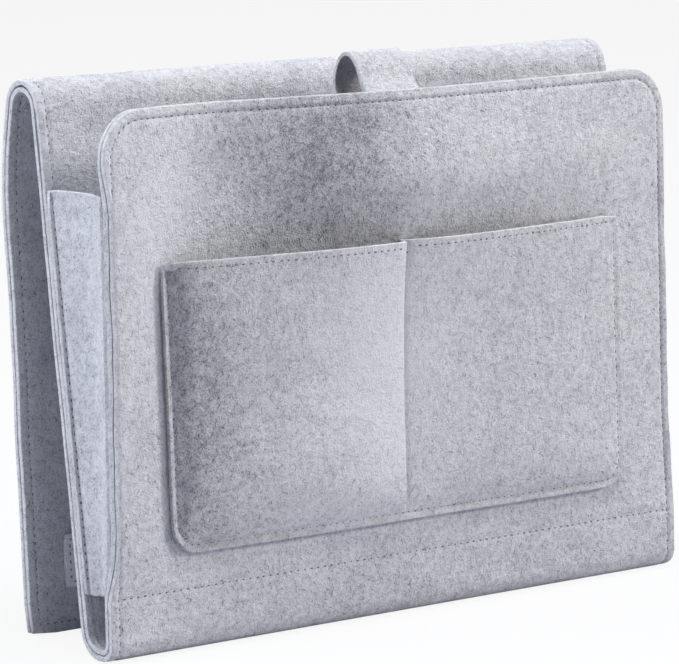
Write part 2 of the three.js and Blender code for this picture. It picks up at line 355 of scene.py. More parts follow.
def rear_layer(side):
    """Placing of the rear half of the bottom fold, the rear panel, the crown and the flap."""

    def place(u, v, t, d):
        distance = TABLE + v
        opened = (distance < CROWN_START) * within(REAR_OPEN_ZONE, strip_height(distance))
        lift = np.where(side > 0, REAR_INNER_LIFT + REAR_OPEN_LIFT * opened, REAR_OUTER_LIFT)
        lift = lift * (1 + 0.16 * np.sin(v * 0.071 + 0.5) + 0.1 * np.sin(v * 0.19 + u * 0.02))
        y, z = on_strip(distance, side * layer_offset(t, d, lift))
        return np.stack([u, y + rear_ripple(u, distance, z), z], axis=-1)

    return place


# Meshes of felt sheets with rounded cut edges.
MARGIN = 8.0  # width of the fine mesh along a cut edge
EDGE = 0.5  # rounding of a cut edge
EDGE_LINES = (6.6, 5.6, 4.95, 4.5, 4.05, 3.4, 2.4, 1.4)  # mesh lines along it
EDGE_LINE_GAP = 0.6
RIM_STEPS = 6
RIM_POWER = 0.6  # 1 makes a round rim, less a squarer one
INNER_RIM = 0.2  # how much the rim's inner half is rounded
CORNER_STEPS = 8
ROW_GAP = 0.2
ROW_CLEARANCE = 0.45
SQUARE_CORNER = 0.86  # direction of the mesh lines at a square corner
FRINGE = 1.0  # width beside a cut edge that partly has its tone
FRINGE_MARK = 0.4


def mesh_piece(name, points, faces, material, marks=None, square=0):
    """A smooth closed mesh from points in millimetres, with named marks for its material.
    The last square faces are a square end with sharp borders."""
    mesh = bpy.data.meshes.new(name)
    mesh.from_pydata((np.asarray(points) * MM).tolist(), [], faces)
    for key, values in (marks or {}).items():
        mark = mesh.attributes.new(key, "FLOAT", "POINT")
        mark.data.foreach_set("value", np.asarray(values, np.float32))
    shape = bmesh.new()
    shape.from_mesh(mesh)
    bmesh.ops.recalc_face_normals(shape, faces=shape.faces)
    for face in list(shape.faces)[len(faces) - square :]:
        for edge in face.edges:
            edge.smooth = False
    shape.to_mesh(mesh)
    shape.free()
    mesh.polygons.foreach_set("use_smooth", np.ones(len(mesh.polygons), bool))
    mesh.materials.append(material)
    piece = bpy.data.objects.new(name, mesh)
    bpy.context.scene.collection.objects.link(piece)
    return piece


def even_columns(count):
    return np.linspace(-1, 1, count)


def inner_rows(low, high, step, extra=()):
    """Heights from low to high about step apart, with extra ones between."""
    even = np.linspace(low, high, math.ceil((high - low) / step) + 1)
    clear = ROW_CLEARANCE * step
    rows = [v for v in even if v in (low, high) or all(abs(v - e) > clear for e in extra)]
    rows += [e for e in extra if low < e < high]
    return sorted(set(round(float(v), 4) for v in rows))


def row_shape(v, low, high, half, r_low, r_high):
    """Half width of a rounded rectangle at a height, and its edge's direction there."""
    for radius, centre, way in ((r_high, high - r_high, 1), (r_low, low + r_low, -1)):
        if radius > 0 and (v - centre) * way > 0:
            q = min(1.0, (v - centre) * way / radius)
            c = math.sqrt(1 - q * q)
            return half - radius * (1 - c), c, way * q
    return half, 1.0, 0.0


def sheet_rows(size, corners, rows, open_low, margin):
    """Heights of the rows inside the margin, and each row's half width with its edge's direction."""
    half, low, high = size
    r_low, r_high = (max(0.0, radius - margin) for radius in corners)
    in_low = low if open_low else low + margin
    in_high = high - margin
    lowest = in_low + r_low
    highest = in_high - r_high
    bends = np.sin(np.linspace(0, math.pi / 2, CORNER_STEPS + 1)[1:])
    rows = [lowest] + [v for v in rows if lowest + ROW_GAP < v < highest - ROW_GAP] + [highest]
    if r_low:
        rows = [lowest - r_low * q for q in bends[::-1]] + rows
    if r_high:
        rows = rows + [highest + r_high * q for q in bends]
    shapes = [row_shape(v, in_low, in_high, half - margin, r_low, r_high) for v in rows]
    if not r_high:
        shapes[-1] = (shapes[-1][0], SQUARE_CORNER, SQUARE_CORNER)
    if not open_low and not r_low:
        shapes[0] = (shapes[0][0], SQUARE_CORNER, -SQUARE_CORNER)
    return np.array(rows), shapes


def sheet_border(shapes, width, open_low):
    """The inner grid's border: grid places, and the directions from them to the cut edge."""
    count = len(shapes)
    border = [(i, 0, -shapes[i][1], shapes[i][2]) for i in range(count)]
    border += [(count - 1, j, 0, 1) for j in range(1, width - 1)]
    border += [(i, width - 1, shapes[i][1], shapes[i][2]) for i in range(count - 1, -1, -1)]
    if not open_low:
        border += [(0, j, 0, -1) for j in range(width - 2, 0, -1)]
    at_i, at_j, out_u, out_v = np.array(border, float).T
    return at_i.astype(int), at_j.astype(int), out_u, out_v


def edge_rings(margin):
    """Rings of (distance from the cut edge, depth), from the outside round the edge to the inside."""
    lines = [d for d in EDGE_LINES if d < margin - EDGE_LINE_GAP] + [EDGE]
    rim = []
    for k in range(1, RIM_STEPS):
        turn = math.pi * k / RIM_STEPS
        rounding = 1.0 if k <= RIM_STEPS / 2 else INNER_RIM
        across = math.cos(turn)
        depth = 0.5 + 0.5 * math.copysign(abs(across) ** RIM_POWER, across)
        rim.append((EDGE * (1 - math.sin(turn) ** RIM_POWER) * rounding, depth))
    return [(d, 1.0) for d in lines] + rim + [(d, 0.0) for d in reversed(lines)]


def flat_points(u, v, t, d):
    """Rows of u, v, depth and distance from the cut edge."""
    u = np.ravel(u)
    return np.stack([u, np.ravel(v), np.full(u.size, float(t)), np.full(u.size, float(d))])


def sheet_faces(count, width, at_i, at_j, rings, open_low):
    """Faces of the outer grid, the inner grid and the rings between. Those of an open end come last."""
    border = len(at_i)
    outer = np.arange(count * width).reshape(count, width)
    inner = outer + count * width + rings * border
    loops = [outer[at_i, at_j]]
    loops += [count * width + k * border + np.arange(border) for k in range(rings)]
    loops.append(inner[at_i, at_j])
    faces = []
    for grid in (outer, inner):
        for i in range(count - 1):
            for j in range(width - 1):
                faces.append((grid[i, j], grid[i, j + 1], grid[i + 1, j + 1], grid[i + 1, j]))
    for a, b in zip(loops, loops[1:]):
        for k in range(border - 1 if open_low else border):
            n = (k + 1) % border
            faces.append((a[k], a[n], b[n], b[k]))
    if open_low:
        for j in range(width - 1):
            faces.append((outer[0, j], outer[0, j + 1], inner[0, j + 1], inner[0, j]))
        faces.append([loop[0] for loop in loops])
        faces.append([loop[-1] for loop in loops])
    return [tuple(int(i) for i in face) for face in faces]


def sheet_marks(u, v, d, clouds_and_painted_shade):
    """Marks for the material: the cut edge, and clouds that are partly dark fibres and partly painted
    shade, with painted light where they are negative.
    """
    cut = np.where(d < EDGE - 1e-6, 1.0, np.where(d < FRINGE, FRINGE_MARK, 0.0))
    cloud_and_painted_shade = np.zeros(len(u))
    for middle_u, middle_v, across, up, much in clouds_and_painted_shade:
        cloud_and_painted_shade = cloud_and_painted_shade + much * bell(u, middle_u, across) * bell(v, middle_v, up)
    return {"cut_edge": cut, "cloud_and_painted_shade": cloud_and_painted_shade}


def felt_sheet(name, size, place, material, rows, columns, corners=(0, 0), open_low=False,
               margin=MARGIN, clouds_and_painted_shade=()):
    """A felt sheet with rounded cut edges. size is (half width, low, high) of the flat cut, corners are the
    radii of its low and high corners, and an open low end is cut square, where the strip goes on."""
    rows, shapes = sheet_rows(size, corners, rows, open_low, margin)
    count = len(rows)
    width = len(columns)
    grid_u = np.array([[share * shape[0] for share in columns] for shape in shapes])
    grid_v = np.repeat(rows[:, None], width, axis=1)
    at_i, at_j, out_u, out_v = sheet_border(shapes, width, open_low)
    rings = edge_rings(margin)
    parts = [flat_points(grid_u, grid_v, 1, margin)]
    for d, t in rings:
        ring_u = grid_u[at_i, at_j] + out_u * (margin - d)
        ring_v = grid_v[at_i, at_j] + out_v * (margin - d)
        parts.append(flat_points(ring_u, ring_v, t, d))
    parts.append(flat_points(grid_u, grid_v, 0, margin))
    u, v, t, d = np.concatenate(parts, axis=1)
    faces = sheet_faces(count, width, at_i, at_j, len(rings), open_low)
    square = width + 1 if open_low else 0
    return mesh_piece(name, place(u, v, t, d), faces, material, sheet_marks(u, v, d, clouds_and_painted_shade), square)


def small_sheet(name, size, place, material, margin, step, count):
    """A felt sheet with square corners, and with even rows and columns."""
    rows = inner_rows(size[1] + margin, size[2] - margin, step)
    return felt_sheet(name, size, place, material, rows, even_columns(count), margin=margin)


# Stitches. Height and girth are given along a stitch, as it comes out of the felt and goes back in.
STITCH_PITCH = 3.8
STITCH_LENGTH = 2.3
STITCH_SINK = 0.12
STITCH_ALONG = np.linspace(-0.5, 0.5, 6)
STITCH_HEIGHT = np.array([-0.62, -0.08, 0.12, 0.12, -0.08, -0.62])
STITCH_GIRTH = np.array([0.55, 0.95, 1.0, 1.0, 0.95, 0.55])
STITCH_SEED = 11
STITCH_LONG = (0.8, 1.08)  # least and most of the length
STITCH_WIDE = (0.9, 1.2)  # least and most of the width
STITCH_SHIFT = 0.12
STITCH_LIFT = 0.06
THREAD_RADIUS = 0.31
THREAD_SIDES = 6
THREAD_FLATNESS = 1.15


def flat_line(start, end, count):
    """Flat points on a straight line."""
    return np.stack([np.linspace(a, b, count) for a, b in zip(start, end)], axis=1)


def outline_line(size, radius, inset, open_low=True, step=1.0):
    """Flat points inside a rectangle with round top corners: up its left side, over its top and down."""
    half, low, high = size
    x = half - inset
    top = high - inset
    radius = max(radius - inset, 1.0)
    bottom = low if open_low else low + inset
    points = [(-x, v) for v in np.arange(bottom, top - radius, step)]
    turn = np.linspace(0, math.pi / 2, max(4, int(radius * 1.6 / step)))
    points += [(-x + radius * (1 - math.cos(a)), top - radius + radius * math.sin(a)) for a in turn]
    points += [(u, top) for u in np.arange(-x + radius + step, 0, step)]
    mirrored = [(-u, v) for u, v in reversed(points)]
    return np.array(points + [(0.0, top)] + mirrored)


def surface_line(place, flat, inset):
    """Points and outward directions on a sheet's outside along flat points."""
    u, v = flat.T
    d = np.full(len(u), float(inset))
    here = place(u, v, np.full(len(u), 1.0), d)
    out = place(u, v, np.full(len(u), 1.3), d) - here
    return here, out / np.linalg.norm(out, axis=1, keepdims=True)


def thread_points(middle, up, radius, chance):
    """Points round one stitch, ring by ring."""
    ahead = middle[-1] - middle[0]
    across = np.cross(up, ahead / np.linalg.norm(ahead)) * chance.uniform(*STITCH_WIDE)
    middle = middle + up * (STITCH_HEIGHT[:, None] - STITCH_SINK + chance.normal(0, STITCH_LIFT))
    points = []
    for m, n, c, girth in zip(middle, up, across, STITCH_GIRTH):
        for a in np.linspace(0, 2 * math.pi, THREAD_SIDES + 1)[:-1]:
            points.append(m + radius * girth * (math.cos(a) * n + THREAD_FLATNESS * math.sin(a) * c))
    return points


def thread_faces(start):
    """Faces of one stitch whose points begin at start."""
    n = THREAD_SIDES
    last = start + n * (len(STITCH_ALONG) - 1)
    faces = []
    for ring in range(start, last, n):
        for k in range(n):
            after = (k + 1) % n
            faces.append((ring + k, ring + after, ring + n + after, ring + n + k))
    return faces + [tuple(range(start, start + n)), tuple(range(last, last + n))]


def stitches(lines, pitch=STITCH_PITCH, length=STITCH_LENGTH, radius=THREAD_RADIUS):
    """Short threads along lines of (points, directions): each dives into the felt at both ends."""
    chance = np.random.default_rng(STITCH_SEED)
    points = []
    faces = []
    for line, out in lines:
        steps = line_steps(line)
        count = int(steps[-1] // pitch)
        lead = (steps[-1] - count * pitch) / 2
        for i in range(count):
            long = length * chance.uniform(*STITCH_LONG)
            at = lead + (i + 0.5) * pitch + chance.normal(0, STITCH_SHIFT) + STITCH_ALONG * long
            middle = np.stack(along_line(at, steps, line), axis=1)
            up = np.stack(along_line(at, steps, out), axis=1)
            faces += thread_faces(len(points))
            points += thread_points(middle, up, radius, chance)
    return points, faces


# Materials.
def new_material(name):
    material = bpy.data.materials.new(name)
    material.use_nodes = True
    tree = material.node_tree
    return material, tree, tree.nodes["Principled BSDF"]


def feed(tree, socket, value):
    """Links a socket to another, or sets its value."""
    if isinstance(value, bpy.types.NodeSocket):
        tree.links.new(value, socket)
    else:
        socket.default_value = value


def feed_named(tree, made, inputs):
    for key, value in inputs.items():
        feed(tree, made.inputs[key], value)


def add_node(tree, kind, settings=None, **inputs):
    made = tree.nodes.new(kind)
    for key, value in (settings or {}).items():
        setattr(made, key, value)
    feed_named(tree, made, inputs)
    return made


def object_place(tree):
    return add_node(tree, "ShaderNodeTexCoord").outputs["Object"]


def point_mark(tree, name):
    return add_node(tree, "ShaderNodeAttribute", {"attribute_name": name}).outputs["Fac"]


def noise(tree, place, **inputs):
    return add_node(tree, "ShaderNodeTexNoise", Vector=place, **inputs).outputs["Fac"]


def turned_noise(tree, place, turn):
    """Noise drawn out into short fibres in one direction."""
    angles = [math.radians(a) for a in turn]
    mapping = add_node(
        tree, "ShaderNodeMapping", {"vector_type": "TEXTURE"}, Vector=place, Rotation=angles, Scale=FIBRE
    )
    return noise(tree, mapping.outputs["Vector"], Scale=1.0, Detail=2.0, Roughness=0.6)


def mix_colour(tree, kind, factor, a, b):
    made = add_node(tree, "ShaderNodeMix", {"data_type": "RGBA", "blend_type": kind})
    for socket, value in zip((made.inputs[0], made.inputs[6], made.inputs[7]), (factor, a, b)):
        feed(tree, socket, value)
    return made.outputs[2]


def ramp(tree, factor, stops):
    """A change from one colour to another, between two stops."""
    made = add_node(tree, "ShaderNodeValToRGB", Fac=factor)
    for point, (at, colour) in zip(made.color_ramp.elements, stops):
        point.position = at
        point.color = colour
    return made.outputs["Color"]


def dark_to_white(tree, factor, low, high):
    return ramp(tree, factor, [(low, (0, 0, 0, 1)), (high, (1, 1, 1, 1))])


def maths(tree, operation, *values, clamp=False):
    made = add_node(tree, "ShaderNodeMath", {"operation": operation, "use_clamp": clamp})
    for socket, value in zip(made.inputs, values):
        feed(tree, socket, value)
    return made.outputs[0]


def larger(tree, values):
    """The largest of several values."""
    most = values[0]
    for value in values[1:]:
        most = maths(tree, "MAXIMUM", most, value)
    return most


def add_bump(tree, shader, height, invert=False, **inputs):
    bump = add_node(tree, "ShaderNodeBump", {"invert": invert}, Height=height, **inputs)
    tree.links.new(bump.outputs["Normal"], shader.inputs["Normal"])


def grey(level, tint=1.0):
    """A grey that is a little blue."""
    return (level, level * (1 + 0.004 * tint), level * (1 + 0.055 * tint), 1.0)


# Felt: size of a fibre in metres, turns of the fibres in degrees, and the shares of dark fibres.
FIBRE = (0.0042, 0.0006, 0.0006)
FIBRE_TURNS = ((12, 25, 8), (-20, 75, 15), (15, 130, -12), (60, 20, 80))
FLECK = 0.9
# The cloud mark adds dark fibres and darkens the felt: partly real fibres, partly painted shade, and
# painted light where the mark is negative.
CLOUD_AND_PAINTED_SHADE = 0.2
CLOUD_AND_PAINTED_SHADE_FLECK = 0.3
DARK_TINT = 2.6
CUT_PALE = 0.94  # the cut edge's pale fibres against the face's
CUT_DARK = 1.2  # the cut edge's dark fibres against the face's


def fleck_amount(tree, clump, fine, fibres, place):
    """How much of the dark fibres shows at a place, with the painted shade and painted light of the cloud
    mark.
    """
    strands = dark_to_white(tree, fibres, 0.6, 0.74)
    clumps = dark_to_white(tree, clump, 0.4, 0.66)
    specks = dark_to_white(tree, fine, 0.42, 0.68)
    patch = noise(tree, place, Scale=95, Detail=3, Roughness=0.55)
    patches = dark_to_white(tree, patch, 0.4, 0.72)
    flecks = mix_colour(tree, "MULTIPLY", 0.5, strands, clumps)
    flecks = mix_colour(tree, "ADD", 0.3, flecks, specks)
    flecks = mix_colour(tree, "ADD", 0.24, flecks, clumps)
    flecks = mix_colour(tree, "ADD", 0.16, flecks, patches)
    cloud_and_painted_shade_mark = point_mark(tree, "cloud_and_painted_shade")
    share = maths(tree, "MULTIPLY_ADD", cloud_and_painted_shade_mark, CLOUD_AND_PAINTED_SHADE_FLECK, FLECK)
    extra = maths(tree, "MULTIPLY", cloud_and_painted_shade_mark, CLOUD_AND_PAINTED_SHADE)
    return maths(tree, "MULTIPLY_ADD", flecks, share, extra, clamp=True)


def felt_colour(tree, place, amount, pale, dark):
    """Pale felt with an amount of dark fibres, slow changes of tone and its own tone at the cut edge."""
    colour = mix_colour(tree, "MIX", amount, grey(pale), grey(dark, DARK_TINT))
    slow = noise(tree, place, Scale=26, Detail=3, Roughness=0.5)
    shade = ramp(tree, slow, [(0.3, grey(0.94, 0.6)), (0.7, (1, 1, 1, 1))])
    colour = mix_colour(tree, "MULTIPLY", 1.0, colour, shade)
    cut = mix_colour(tree, "MIX", amount, grey(pale * CUT_PALE), grey(dark * CUT_DARK))
    return mix_colour(tree, "MIX", point_mark(tree, "cut_edge"), colour, cut)


def felt_material(name, pale, dark):
    """Needled felt of pale fibres with darker ones among them, matted in all directions."""
    material, tree, shader = new_material(name)
    place = object_place(tree)
    fine = noise(tree, place, Scale=1300, Detail=4, Roughness=0.7)
    clump = noise(tree, place, Scale=330, Detail=4, Roughness=0.65)
    fibres = larger(tree, [turned_noise(tree, place, turn) for turn in FIBRE_TURNS])
    amount = fleck_amount(tree, clump, fine, fibres, place)
    heights = mix_colour(tree, "ADD", 0.8, clump, fibres)
    heights = mix_colour(tree, "ADD", 0.5, heights, fine)
    add_bump(tree, shader, heights, Strength=0.8, Distance=0.0018)
    inputs = {
        "Base Color": felt_colour(tree, place, amount, pale, dark),
        "Roughness": 0.95,
        "Specular IOR Level": 0.12,
        "Sheen Weight": 0.15,
        "Sheen Roughness": 0.55,
    }
    feed_named(tree, shader, inputs)
    return material


def shade_painted_thread_material():
    material, tree, shader = new_material("sewing_thread_painted_shade")
    twist = noise(tree, object_place(tree), Scale=2600)
    # The thread's dark grey is painted shade of the needle holes and the grooves that it sinks into.
    tone = ramp(tree, twist, [(0.3, grey(0.09, 2)), (0.7, grey(0.2, 2))])
    add_bump(tree, shader, twist, Strength=0.5, Distance=0.0002)
    feed_named(tree, shader, {"Base Color": tone, "Roughness": 0.7})
    return material


def tape_material():
    """Hook tape: a woven ground with close rows of small hooks."""
    material, tree, shader = new_material("hook_tape")
    hooks = add_node(
        tree, "ShaderNodeTexVoronoi", Vector=object_place(tree), Scale=780, Randomness=0.35
    ).outputs["Distance"]
    tone = ramp(tree, hooks, [(0.1, grey(0.86, 1.2)), (0.6, grey(0.72, 1.4))])
    add_bump(tree, shader, hooks, invert=True, Strength=0.8, Distance=0.0008)
    feed_named(tree, shader, {"Base Color": tone, "Roughness": 0.75})
    return material


FACE = felt_material("face_felt_melange", pale=0.77, dark=0.17)
LINING = felt_material("lining_felt_melange", pale=0.76, dark=0.17)
SHADE_PAINTED_THREAD = shade_painted_thread_material()
TAPE = tape_material()

# Clouds that are partly dark fibres that gather or are few, and partly painted shade and painted light:
# darker mostly where the felt turns away from the key lamp, lighter where it turns towards it. Flat middle,
# spread across and up, and how much.
FRONT_CLOUDS_AND_PAINTED_SHADE = [
    (-50, 212, 44, 32, 1.15),
    (-40, 238, 32, 18, 0.6),
    (-130, 190, 26, 60, -0.6),
    (20, 14, 150, 14, 0.3),
]
POCKET_CLOUDS_AND_PAINTED_SHADE = [(-122, 62, 26, 84, 1.12), (-16, 80, 34, 70, -1.1)]


# Panels of the folded strip: rows of the mesh, closer where the strip bends the felt.
SEAM_ROWS = (-4, -2.2, -1.1, 0, 1.1, 2.2, 4)
BEND_STEP = 1.2
BEND_ROWS_END = SEAM_UP - 18
CROWN_STEP = 1.1
BEYOND_CROWN = 2.0  # fine rows on each side of the crown
LINING_SEAM_UP = REAR_START - TABLE + 197.0  # seam on the rear lining, above the gussets


def front_threads(size):
    """Seam lines of the front panel: round it, on its lining above the gussets, and across its foot."""
    line = outline_line(size, FRONT_CORNER, SEAM)
    upper = line[line[:, 1] > SEAM_UP + GUSSET_TOP - FOLD_SEAM]
    side = HALF - SEAM - 0.5
    across = flat_line((-side, SEAM_UP), (side, SEAM_UP), count=320)
    return [
        surface_line(front_layer(-1), line, SEAM),
        surface_line(front_layer(1), upper, SEAM),
        surface_line(front_layer(-1), across, MARGIN),
    ]


def front_panel():
    size = (HALF, 0.0, FRONT_LENGTH)
    bend_rows = list(np.arange(BEND_STEP, BEND_ROWS_END, BEND_STEP))
    seam_rows = [SEAM_UP + k for k in SEAM_ROWS]
    rows = inner_rows(0, FRONT_LENGTH - MARGIN, step=4.5, extra=bend_rows + seam_rows)
    shape = (rows, even_columns(count=75), (0, FRONT_CORNER), True)
    outer = felt_sheet("front_outer_sheet", size, front_layer(-1), FACE, *shape, clouds_and_painted_shade=FRONT_CLOUDS_AND_PAINTED_SHADE)
    inner = felt_sheet("front_inner_sheet", size, front_layer(1), LINING, *shape)
    sewn = mesh_piece("front_stitches", *stitches(front_threads(size)), SHADE_PAINTED_THREAD)
    for piece in (outer, inner, sewn):
        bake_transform(piece)
    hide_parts("front_face_felt", "front_board")
    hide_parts("front_lining_felt")


def rear_threads(size):
    """Seam lines of the rear panel and the flap: round them, and on the lining above the gussets."""
    line = outline_line(size, SEAM + 1, SEAM)
    upper = line[line[:, 1] > LINING_SEAM_UP]
    return [surface_line(rear_layer(-1), line, SEAM), surface_line(rear_layer(1), upper, SEAM)]


def rear_and_flap():
    size = (HALF, 0.0, REAR_LENGTH)
    bends = list(np.arange(BEND_STEP, REAR_START - TABLE, BEND_STEP))
    crown_low = CROWN_START - TABLE - BEYOND_CROWN
    crown_high = CROWN_END - TABLE + BEYOND_CROWN
    bends += list(np.arange(crown_low, crown_high, CROWN_STEP))
    rows = inner_rows(0, REAR_LENGTH - MARGIN, step=6, extra=bends)
    shape = (rows, even_columns(count=61), (0, 0), True)
    inner = felt_sheet("rear_inner_sheet", size, rear_layer(1), LINING, *shape)
    outer = felt_sheet("rear_outer_sheet", size, rear_layer(-1), FACE, *shape)
    sewn = mesh_piece("rear_stitches", *stitches(rear_threads(size)), SHADE_PAINTED_THREAD)
    for piece in (outer, inner, sewn):
        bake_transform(piece)
    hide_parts("rear_face_felt", "rear_board", "flap_face_felt", "flap_board")
    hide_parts("rear_lining_felt", "flap_lining_felt")


# The pocket panel: its divider and lean, and how each pocket swells across its width and up its height.
POCKET_SKEW = 2.6
DIVIDER_X = -2.4
DIVIDER_HALF = 0.8
DIVIDER_SLANT = 2.6
DIVIDER_REACH = 70  # how far the divider's slant is felt to each side
LEFT_BULGE = 9.8
RIGHT_BULGE = 5.0
LEFT_PROFILE = [
    (0, 0), (0.02, 0.14), (0.058, 0.45), (0.128, 0.7), (0.2, 0.86), (0.263, 0.95), (0.33, 0.99),
    (0.4, 1.0), (0.54, 0.95), (0.68, 0.9), (0.75, 0.83), (0.82, 0.73), (0.88, 0.64), (0.95, 0.53),
    (0.982, 0.44), (1.0, 0),
]
RIGHT_PROFILE = [
    (0, 0), (0.01, 0.16), (0.05, 0.4), (0.1, 0.61), (0.17, 0.83), (0.26, 0.97), (0.34, 1.0),
    (0.55, 0.78), (0.8, 0.44), (0.95, 0.12), (1.0, 0),
]
LOWER_PROFILE = [(0, 0), (0.03, 0.2), (0.08, 0.45), (0.16, 0.68), (0.3, 0.88), (0.5, 1.0), (1.0, 1.0)]
MOUTH_FLARE = 0.36
HEM_LIFT = 0.25
LEFT_HEM_LIFT = 0.75  # more at the left hem, which stands off the front panel
LEFT_HEM = (-122, -128)
POCKET_GAP = 0.15
POCKET_PINCH = 0.25
POCKET_PINCH_WIDTH = 0.8
POCKET_RIPPLE = 0.3
POCKET_RIPPLE_PACE = 1.7  # closer waves than on the strip
POCKET_RIPPLE_SHIFT = 30
POCKET_RIPPLE_FULL = 4  # swell from which the ripple is full

# Columns of the fine mesh beside the divider, and the places of the pocket's seams.
DIVIDER_LINES = (-8, -5.6, -4.2, -3.4, -2.8, -2.1, -1.5, -0.8, 0, 0.8, 1.6, 2.6, 4.2, 6.4)
MOUTH_SEAM = 3.0
MOUTH_SIDE = 6.0
MOUTH_DIVIDER = 4.0
DIVIDER_SEAM = (6, POCKET_HEIGHT - 8)
TACK_X = DIVIDER_X + 1.9
TACK_LOW = POCKET_HEIGHT - 7
TACK_HIGH = POCKET_HEIGHT - 5.2


def both(across, up):
    """The lower of two swellings, with a soft change from one to the other."""
    return 1.26 * across * up / np.cbrt(across**3 + up**3 + 1e-9)


def swell(profile, share):
    """A pocket's swell across its width, and none outside it."""
    return np.where((share > 0) & (share < 1), curve_through(profile, share), 0)


def pocket_bulge(u, v):
    """How far the pocket panel stands off the front panel."""
    side = POCKET_HALF - POCKET_HEM
    left_end = DIVIDER_X - DIVIDER_HALF
    right_start = DIVIDER_X + DIVIDER_HALF
    rise = (v - POCKET_HEM) / (POCKET_HEIGHT - POCKET_HEM)
    up = curve_through(LOWER_PROFILE, rise)
    left = swell(LEFT_PROFILE, (u + side) / (left_end + side))
    right = swell(RIGHT_PROFILE, (u - right_start) / (side - right_start))
    height = LEFT_BULGE * both(left, up) + RIGHT_BULGE * both(right, up)
    return height * (1 + MOUTH_FLARE * smooth(0.4, 1.0, rise))


def pocket_edge(u, v):
    """Distance to the sewn edge of the pocket panel: its sides and lower edge with their round corners."""
    side = POCKET_HALF - np.abs(u)
    near = np.minimum(side, v)
    corner = POCKET_CORNER - np.hypot(POCKET_CORNER - side, POCKET_CORNER - v)
    return np.where((side < POCKET_CORNER) & (v < POCKET_CORNER), corner, near)


def pocket_layer(u, v, t, d):
    """Placing of the pocket panel. Flat v runs up from its lower edge. Its hem lifts beyond the seam."""
    up = POCKET_LOW - FOLD_SEAM + SEAM_UP + v
    edge = pocket_edge(u, v)
    hem = np.clip((POCKET_HEM - edge) / POCKET_HEM, 0, 1)
    pinch = bell(edge, POCKET_HEM, POCKET_PINCH_WIDTH)
    bulge = pocket_bulge(u, v)
    lift = HEM_LIFT + LEFT_HEM_LIFT * smooth(*LEFT_HEM, u)
    height = POCKET_GAP + bulge + POCKET_FELT * t * (1 - POCKET_PINCH * pinch) + lift * hem
    uneven = ripple(u * POCKET_RIPPLE_PACE + POCKET_RIPPLE_SHIFT, v * POCKET_RIPPLE_PACE)
    height = height + POCKET_RIPPLE * uneven * np.clip(bulge / POCKET_RIPPLE_FULL, 0, 1)
    distance = TABLE - up
    slant = POCKET_SKEW + DIVIDER_SLANT * bell(u, DIVIDER_X, DIVIDER_REACH)
    x = u - slant * v / POCKET_HEIGHT
    push = front_push(x, strip_height(distance)) + FRONT_RIPPLE * ripple(x, up)
    y, z = on_strip(distance, -MIDDLE - height - push)
    return np.stack([x, y, z], axis=-1)


def pocket_threads(size):
    """Seam lines of the pocket panel: round its sewn edge, along its two mouths, and up its divider."""
    sides = outline_line(size, POCKET_CORNER, POCKET_HEM)
    sides[:, 1] = POCKET_HEIGHT - sides[:, 1]
    sides = sides[(sides[:, 1] > 0) & (sides[:, 1] < POCKET_HEIGHT - 1)]
    mouth = POCKET_HEIGHT - MOUTH_SEAM
    side = POCKET_HALF - MOUTH_SIDE
    left = flat_line((-side, mouth), (DIVIDER_X - MOUTH_DIVIDER, mouth), count=160)
    right = flat_line((DIVIDER_X + MOUTH_DIVIDER, mouth), (side, mouth), count=160)
    low, high = DIVIDER_SEAM
    divider = flat_line((DIVIDER_X, low), (DIVIDER_X, high), count=120)
    return [
        surface_line(pocket_layer, sides, POCKET_HEM),
        surface_line(pocket_layer, left, MOUTH_SEAM),
        surface_line(pocket_layer, right, MOUTH_SEAM),
        surface_line(pocket_layer, divider, MARGIN),
    ]


def pocket_stitches(size):
    """The pocket's seams and the tack at the top of its divider."""
    points, faces = stitches(pocket_threads(size))
    flat = flat_line((TACK_X, TACK_LOW), (TACK_X, TACK_HIGH), count=12)
    tack = surface_line(pocket_layer, flat, MARGIN)
    tack_points, tack_faces = stitches([tack], pitch=1.3, length=1.6, radius=0.5)
    faces += [tuple(i + len(points) for i in face) for face in tack_faces]
    return mesh_piece("pocket_stitches", points + tack_points, faces, SHADE_PAINTED_THREAD)


def pocket_panel():
    size = (POCKET_HALF, 0.0, POCKET_HEIGHT)
    inside = POCKET_HALF - MARGIN
    divider = [DIVIDER_X + k for k in DIVIDER_LINES]
    columns = np.array(inner_rows(-inside, inside, step=3.2, extra=divider)) / inside
    rows = inner_rows(MARGIN, POCKET_HEIGHT - MARGIN, step=3.5)
    corners = (POCKET_CORNER, 0)
    panel = felt_sheet(
        "pocket_sheet", size, pocket_layer, FACE, rows, columns, corners, clouds_and_painted_shade=POCKET_CLOUDS_AND_PAINTED_SHADE
    )
    sewn = pocket_stitches(size)
    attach(panel, "front")
    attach(sewn, "front")
    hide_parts("pocket_panel")


# Gussets in plan: distances from the side edge, off the lining, and the share of the turned edge.
FRONT_FLANGE = [(1.0, 0, 1), (2.8, 0, 0.35), (4.2, 1.0, 0), (4.6, 3.0, 0)]
REAR_FLANGE = [(3.4, 2.6), (2.9, 0.7), (1.9, 0), (0.2, 0)]
WEB_INSET = 4.6
WEB_BOW = 1.2
WEB_BOW_MORE = 2.2  # added from the foot up
WEB_BOW_FULL = 150  # height from which the bow is full
FLANGE_MIDDLE = 3.0
EDGE_TURN = 2.6
FRONT_SEAT = 0.3
REAR_SEAT = 0.25
GUSSET_HALF = 24.0
GUSSET_MARGIN = 5.0
GUSSET_SEAM = 3.0
GUSSET_SEAM_LOW = GUSSET_LOW + 4
GUSSET_SEAM_HIGH = GUSSET_TOP - 3


